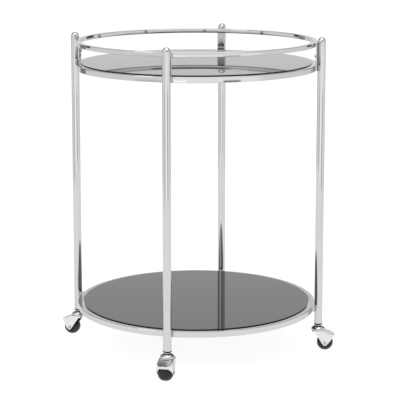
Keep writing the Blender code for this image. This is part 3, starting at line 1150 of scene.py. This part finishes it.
@dataclass
class Casters:
    """Four swivel casters: a socket in the post, a domed stem, a pressed hood and a crowned wheel."""

    stands: list[Stand]
    socket_wall: float = 0.0012
    stem_radius: float = 0.0035
    collar_radius: float = 0.0072
    stem_head_radius: float = 0.0055
    stem_head_height: float = 0.0016
    dome_rim_share: float = 0.35
    dome_shoulder_share: float = 0.78
    dome_shoulder_drop: float = 0.25
    dome_height: float = 0.0102
    fork_wall: float = 0.0020
    hood_edge: float = 0.0007
    roll_radius: float = 0.0014
    roll_low_z: float = 0.0300
    roll_back_x: float = -0.0145
    panel_margin: float = 0.0022
    panel_draft: float = 0.0008
    panel_depth: float = 0.0005
    panel_least_area: float = 0.00015
    panel_least_up: float = 0.5
    panel_least_forward: float = 0.1
    axle_radius: float = 0.0025
    rivet_radius: float = 0.0042
    rivet_height: float = 0.0012
    rivet_dome_share: float = 0.95
    tread_flat: float = 0.0040
    crown_depth: float = 0.0090
    crown_steps: int = 12
    seam_height: float = 0.00004
    seam_half: float = 0.0003
    shoulder_round: float = 0.0007
    seat_radius: float = 0.0085
    boss_wall: float = 0.0014
    boss_slope: float = 0.0003
    rim_wall: float = 0.0012
    rim_slope: float = 0.0004
    dish_depth: float = 0.0022
    fine_steps: int = 96
    plain_steps: int = 64
    small_steps: int = 48

    def build(self) -> None:
        """Model each piece once and copy it to all four posts."""
        stand = self.stands[0]
        self.tyre = Extent.of(f"tyre_{stand.name}")
        self.fork = Extent.of(f"fork_{stand.name}")
        self.insert = Extent.of(f"caster_insert_{stand.name}")
        self.stem = Extent.of(f"caster_stem_{stand.name}")
        across = Vector((-math.sin(stand.trail), math.cos(stand.trail), 0))
        self.wheel_radius = self.tyre.middle.z
        self.wheel_half = abs(self.tyre.size.dot(across)) / 2
        self.axle_half = abs(Extent.of(f"axle_{stand.name}").size.dot(across)) / 2
        self.trail = (self.tyre.middle - stand.axis).to_2d().length
        fixed = {"caster_insert": (self._insert(), NYLON), "caster_stem": (self._stem(), FITTING_CHROME)}
        for kind, (master, finish) in fixed.items():
            for place in self.stands:
                name = f"{kind}_{place.name}"
                dress(copy_to(master, f"{name}_fine", place.post_frame), finish, "frame", name)
            discard(master)
        self._copy_all("fork", self._fork(stand), PRESSED_CHROME_PAINTED_BRIGHT, "caster", Matrix())
        axle_middle = Matrix.Translation((self.trail, 0, self.wheel_radius))
        on_axle = axle_middle @ Matrix.Rotation(QUARTER, 4, "X")
        self._copy_all("axle", self._axle(), STEEL, "caster", on_axle)
        self._copy_all("tyre", self._tyre(), RUBBER, "wheel", on_axle)
        self._copy_all("wheel_core", self._core(), NYLON, "wheel", on_axle)

    def _copy_all(
        self, kind: str, master: bpy.types.Object, finish: Finish, body: str, place: Matrix
    ) -> None:
        """Copy a swivelling piece to all four casters and remove its master.

        Args:
            kind: The start of the CAD nodes' names.
            master: The piece that was modelled once.
            finish: Its surface finish.
            body: The start of the bodies' names.
            place: From the master's own frame to the fork's.
        """
        for stand in self.stands:
            name = f"{kind}_{stand.name}"
            piece = copy_to(master, f"{name}_fine", stand.caster_frame @ place)
            dress(piece, finish, f"{body}_{stand.name}", name)
        discard(master)

    def _insert(self) -> bpy.types.Object:
        """The black socket, with a rounded flange under the post.

        Returns:
            The socket, about the post's own axis.
        """
        post = Extent.of(f"post_{self.stands[0].name}")
        flange_r = self.insert.size.x / 2
        flange_top = post.low.z - FIT_GAP
        plug_r = post.size.x / 2 - self.socket_wall - FIT_GAP
        bore_r = self.stem_radius + FIT_GAP
        top, low = self.insert.high.z, self.insert.low.z
        outline = [(plug_r, top), (plug_r, flange_top), (flange_r, flange_top)]
        outline += [(flange_r, low), (bore_r, low), (bore_r, top)]
        return Turning(outline, INSERT_ROUNDS, self.plain_steps, closed=True).build("insert")

    def _stem(self) -> bpy.types.Object:
        """The pin with its collar, domed race and riveted head.

        Returns:
            The pin, about the post's own axis.
        """
        top, low = self.stem.high.z, self.stem.low.z
        dome_r = self.stem.size.x / 2
        dome_low = self.fork.high.z + FIT_GAP
        dome_top = dome_low + self.dome_height
        collar_top = self.insert.low.z - FIT_GAP
        rim = dome_low + self.dome_height * self.dome_rim_share
        shoulder_r = dome_r * self.dome_shoulder_share
        head_top = self.fork.high.z - self.fork_wall - FIT_GAP
        outline = [
            (0.0, top),
            (self.stem_radius, top),
            (self.stem_radius, collar_top),
            (self.collar_radius, collar_top),
            (self.collar_radius, dome_top),
            (shoulder_r, dome_top - self.dome_height * self.dome_shoulder_drop),
            (dome_r, rim),
            (dome_r, dome_low),
            (self.stem_radius, dome_low),
            (self.stem_radius, head_top),
            (self.stem_head_radius, head_top),
            (self.stem_head_radius, low),
            (0.0, low),
        ]
        return Turning(outline, STEM_ROUNDS, self.fine_steps, segments=5).build("stem")

    def _fork(self, stand: Stand) -> bpy.types.Object:
        """The pressed hood with its ears: the plain fork's shape with its corners rolled.

        Args:
            stand: The post whose fork is taken as the pattern.

        Returns:
            The fork in its own frame.
        """
        pattern = bpy.data.meshes["fork_pattern"]
        fork = bpy.data.objects.new("hood", pattern)
        bpy.context.scene.collection.objects.link(fork)
        fork.matrix_world = stand.caster_frame.inverted()
        apply_place(fork)
        with editing(fork, Element.EDGES):
            bpy.ops.mesh.select_all(action="SELECT")
            bpy.ops.mesh.remove_doubles(threshold=MERGE * 5)
            bpy.ops.mesh.dissolve_limited(angle_limit=FLAT_ANGLE)
            bpy.ops.mesh.select_all(action="DESELECT")
            pick(Element.EDGES, self._is_rolled)
            bpy.ops.mesh.bevel(offset=self.roll_radius, segments=5, clamp_overlap=False)
        with editing(fork):
            pick(Element.FACES, self._is_pressed)
            bpy.ops.mesh.inset(thickness=self.panel_margin, use_individual=True)
            bpy.ops.mesh.inset(
                thickness=self.panel_draft, depth=-self.panel_depth, use_individual=True
            )
        round_edges(fork, self.hood_edge, 3)
        return fork

    def _is_outer(self, face: bmesh.types.BMFace) -> bool:
        """Whether a face of the fork looks away from the wheel."""
        wheel = Vector((self.trail, 0, self.wheel_radius))
        return face.normal.dot(face.calc_center_median() - wheel) > 0

    def _is_rolled(self, edge: bmesh.types.BMEdge) -> bool:
        """Whether an edge is one of the hood's outer ones, which are rolled over a large radius.

        Args:
            edge: An edge of the fork in its own frame.

        Returns:
            True for an outer edge above the ears.
        """
        if len(edge.link_faces) != 2 or not all(self._is_outer(face) for face in edge.link_faces):
            return False
        low_z = min(vert.co.z for vert in edge.verts)
        back_x = min(vert.co.x for vert in edge.verts)
        if low_z <= self.roll_low_z or back_x <= self.roll_back_x:
            return False
        return edge.calc_face_angle() > SMOOTH_ANGLE

    def _is_pressed(self, face: bmesh.types.BMFace) -> bool:
        """Whether a face is the hood's sloping top, which has a pressed panel."""
        slopes = face.normal.z > self.panel_least_up and face.normal.x > self.panel_least_forward
        return slopes and face.calc_area() > self.panel_least_area

    def _axle(self) -> bpy.types.Object:
        """The axle with its domed rivet heads.

        Returns:
            The axle, along Z.
        """
        half, rivet_r, axle_r = self.axle_half, self.rivet_radius, self.axle_radius
        low = half - self.rivet_height
        outline = [(0.0, half), (rivet_r, half), (rivet_r, low), (axle_r, low)]
        outline += [(axle_r, -low), (rivet_r, -low), (rivet_r, -half), (0.0, -half)]
        dome = self.rivet_height * self.rivet_dome_share
        return Turning(outline, {1: dome, 6: dome}, self.small_steps, segments=5).build("axle")

    def _tyre(self) -> bpy.types.Object:
        """The crowned tyre, from one flank over the tread to the other, with its moulding seam.

        Returns:
            The tyre, about Z.
        """
        half, radius = self.wheel_half, self.wheel_radius
        flat = self.tread_flat / 2
        rise = math.acos(1.0 - self.crown_depth / radius)
        span = (half - flat) / math.sin(rise)
        steps = self.crown_steps
        crown = [
            (radius * math.cos(turn), flat + span * math.sin(turn))
            for turn in (rise * (1 - step / steps) for step in range(steps + 1))
        ]
        beside = radius - self.seam_height
        seam = [(beside, self.seam_half), (radius, 0.0), (beside, -self.seam_half)]
        lower = [(across, -height) for across, height in reversed(crown)]
        outline = [(self.seat_radius, half), *crown, *seam, *lower, (self.seat_radius, -half)]
        rounds = {1: self.shoulder_round, len(outline) - 2: self.shoulder_round}
        return Turning(outline, rounds, self.fine_steps, closed=True, segments=3).build("tyre")

    def _core(self) -> bpy.types.Object:
        """The wheel's core with a dished side and a boss round the axle.

        Returns:
            The core, about Z.
        """
        half = self.wheel_half - FIT_GAP
        outer = self.seat_radius - FIT_GAP
        bore = self.axle_radius + FIT_GAP
        boss, rim, dish = bore + self.boss_wall, outer - self.rim_wall, half - self.dish_depth
        side = [(outer, half), (rim, half), (rim - self.rim_slope, dish)]
        side += [(boss + self.boss_slope, dish), (boss, half), (bore, half)]
        outline = side + [(across, -height) for across, height in reversed(side)]
        return Turning(outline, CORE_ROUNDS, self.plain_steps, closed=True, segments=3).build("core")


# Studio


@dataclass(frozen=True)
class Band:
    """A brighter or darker patch of the studio's walls, by bearing and by elevation, in degrees.

    Bearings run from -Y, the cart's front, towards +X. A patch without elevation limits runs from the
    floor to the ceiling.
    """

    bearing: float
    half_width: float
    softness: float
    gain: float
    lowest: float = -90.0
    highest: float = 90.0
    edge: float = 0.8

    def mask(self, bearing: Value, rise: Value) -> Value:
        """How far a direction lies in the patch.

        Args:
            bearing: The direction's bearing in radians.
            rise: The sine of its elevation.

        Returns:
            1 inside the patch, falling to 0 outside it.
        """
        middle, half = math.radians(self.bearing), math.radians(self.half_width)
        mask = abs(bearing - middle).step(half + math.radians(self.softness), half)
        if self.lowest > -90.0:
            mask = mask * rise.step(*self._limits(self.lowest, self.edge))
        if self.highest < 90.0:
            mask = mask * rise.step(*self._limits(self.highest, -self.edge))
        return mask

    @staticmethod
    def _limits(elevation: float, edge: float) -> tuple[float, float]:
        """The sines of the elevations at which a soft limit starts and ends."""
        start, end = (math.sin(math.radians(elevation + side * edge)) for side in (-1, 1))
        return start, end


@dataclass(frozen=True)
class Softbox:
    """A square soft light."""

    name: str
    place: Place
    size: float
    power: float


@dataclass
class Studio:
    """A plain pale floor in a white room with patched walls, soft lights and the camera."""

    floor_radius: float = 2.2
    floor_tone: Colour = (0.22, 0.22, 0.22)
    floor_roughness: float = 0.7
    floor_glow: float = 0.93
    backdrop_light: float = 1.06
    wall_light: float = 1.0
    wall_fall: float = 0.12
    wall_fall_rise: Point = (0.10, 0.40)
    softboxes: tuple[Softbox, ...] = (
        Softbox("overhead_softbox", (0.3, -0.6, 2.6), size=2.0, power=18.0),
        Softbox("key_softbox", (-1.7, -2.2, 2.0), size=0.9, power=12.0),
    )
    light_target: Place = (0.0, 0.0, 0.3)
    camera_bearing: float = math.radians(12.63)
    camera_tilt: float = math.radians(9.746)
    camera_distance: float = 3.6732
    camera_height: float = 1.1001
    camera_lens: float = 141.4
    camera_sensor: float = 36.0
    camera_shift: Point = (0.0093, -0.125)
    # Each patch starts with its bearing, half width, softness and gain
    bands: tuple[Band, ...] = (
        Band(28.0, 38.0, 16.0, 1.26, highest=-5.8, edge=0.2),
        Band(149.0, 8.0, 1.5, 0.05, lowest=-5.85, edge=0.1),
        Band(-110.0, 4.0, 1.5, 0.05, lowest=-5.85, edge=0.1),
        Band(-122.0, 6.0, 2.0, 0.32),
        Band(-2.5, 5.0, 3.0, 1.30, highest=-7.60, edge=0.10),
        Band(46.0, 6.5, 3.0, 0.15, highest=-7.60, edge=0.10),
        Band(-30.0, 13.0, 5.0, 0.74, highest=-7.60, edge=0.10),
        Band(15.0, 70.0, 15.0, 1.50, lowest=4.5, highest=6.0, edge=0.2),
        Band(20.0, 34.0, 12.0, 0.25, lowest=6.3, highest=11.0, edge=0.3),
        Band(-18.0, 12.0, 5.0, 1.70, lowest=12.5, highest=19.0, edge=1.0),
        Band(27.0, 8.0, 3.0, 0.20, lowest=12.5, highest=19.0, edge=1.0),
        Band(-60.0, 18.0, 6.0, 0.50, lowest=12.5, highest=19.0, edge=1.0),
        Band(70.0, 25.0, 8.0, 0.60, lowest=12.5, highest=19.0, edge=1.0),
        Band(0.0, 180.0, 1.0, 0.60, lowest=28.0, highest=42.0, edge=4.0),
    )

    def build(self) -> None:
        """Make the floor, the room's light and the camera."""
        self._floor()
        self._room()
        self._lights()
        self._camera()

    def _floor(self) -> None:
        """A round pale floor that belongs to the stage."""
        deselect_all()
        bpy.ops.mesh.primitive_circle_add(vertices=128, radius=self.floor_radius, fill_type="NGON")
        floor = made("studio_floor")
        material = bpy.data.materials.new("pale_floor")
        material.use_nodes = True
        bench = ShaderBench(material.node_tree)
        inputs = {
            "Base Color": (*self.floor_tone, 1.0),
            "Roughness": self.floor_roughness,
            "Specular IOR Level": 0.0,
            "Emission Color": (1.0, 1.0, 1.0, 1.0),
            "Emission Strength": self.floor_glow,
        }
        shader = bench.node("ShaderNodeBsdfPrincipled", inputs=inputs)
        bench.node("ShaderNodeOutputMaterial", inputs={"Surface": shader.outputs[0]})
        floor.data.materials.append(material)

    def _room(self) -> None:
        """White walls with brighter and darker patches for the chrome to reflect.

        The camera itself sees an even backdrop in their place.
        """
        world = bpy.data.worlds.new("studio_room")
        bpy.context.scene.world = world
        world.use_nodes = True
        bench = ShaderBench(world.node_tree)
        towards = bench.node("ShaderNodeTexCoord").outputs["Generated"]
        split = bench.node("ShaderNodeSeparateXYZ", inputs={0: towards})
        x, y, z = (bench.value(split, axis) for axis in range(3))
        bearing = x.turn_from(y * -1.0)
        light = self.wall_light - self.wall_fall * z.step(*self.wall_fall_rise)
        for band in self.bands:
            light = light * (1.0 + (band.gain - 1.0) * band.mask(bearing, z))
        seen = bench.value(bench.node("ShaderNodeLightPath"), "Is Camera Ray")
        strength = light + seen * (self.backdrop_light - light)
        inputs = {"Color": (1.0, 1.0, 1.0, 1.0), "Strength": strength}
        shader = bench.node("ShaderNodeBackground", inputs=inputs)
        bench.node("ShaderNodeOutputWorld", inputs={"Surface": shader.outputs[0]})

    def _lights(self) -> None:
        """A large soft light overhead and a smaller one from the front left."""
        for softbox in self.softboxes:
            light = bpy.data.lights.new(softbox.name, "AREA")
            light.shape = "SQUARE"
            light.size = softbox.size
            light.energy = softbox.power
            lamp = bpy.data.objects.new(softbox.name, light)
            bpy.context.scene.collection.objects.link(lamp)
            lamp.location = softbox.place
            aim = Vector(self.light_target) - Vector(softbox.place)
            lamp.rotation_euler = aim.to_track_quat("-Z", "Y").to_euler()

    def _camera(self) -> None:
        """The camera, a little above the upper shelf."""
        bearing, distance = self.camera_bearing, self.camera_distance
        data = bpy.data.cameras.new("camera")
        data.lens = self.camera_lens
        data.sensor_width = self.camera_sensor
        data.shift_x, data.shift_y = self.camera_shift
        camera = bpy.data.objects.new("camera", data)
        bpy.context.scene.collection.objects.link(camera)
        place = (distance * math.sin(bearing), -distance * math.cos(bearing), self.camera_height)
        camera.location = place
        camera.rotation_euler = (QUARTER - self.camera_tilt, 0.0, bearing)
        bpy.context.scene.camera = camera


def take_fork_pattern(frame: dict[str, Any], stand: Stand) -> None:
    """Keep a copy of one plain fork's mesh, for the hood to be modelled from.

    Args:
        frame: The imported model, as it was loaded.
        stand: The post whose fork is copied.
    """
    pattern = frame["nodes"][f"fork_{stand.name}"].data.copy()
    pattern.name = "fork_pattern"
    pattern.materials.clear()


def main() -> None:
    """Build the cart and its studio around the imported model."""
    logging.basicConfig(level=logging.INFO, format="%(name)s %(message)s")
    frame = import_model()
    stands = [Stand.of(name) for name in ("front", "right", "rear", "left")]
    rail_height = Extent.of("gallery_rail").size.z
    take_fork_pattern(frame, stands[0])
    Posts(stands).build()
    Ring("gallery_rail", rail_height, stands).build()
    Ring("upper_ring", RING_HEIGHT, stands).build()
    Ring("lower_ring", RING_HEIGHT, stands).build()
    Straps(stands, rail_height, RING_HEIGHT).build()
    Seats(stands).build()
    SocketScrews("strap_screw", stands, head_radius=0.0048, head_height=0.0040, shank_radius=0.0020).build()
    SocketScrews("ring_screw", stands, head_radius=0.0027, head_height=0.0020, shank_radius=0.0016).build()
    Shelves().build()
    Casters(stands).build()
    Studio().build()
    bpy.context.scene.view_settings.view_transform = "Standard"


if __name__ == "__main__":
    main()
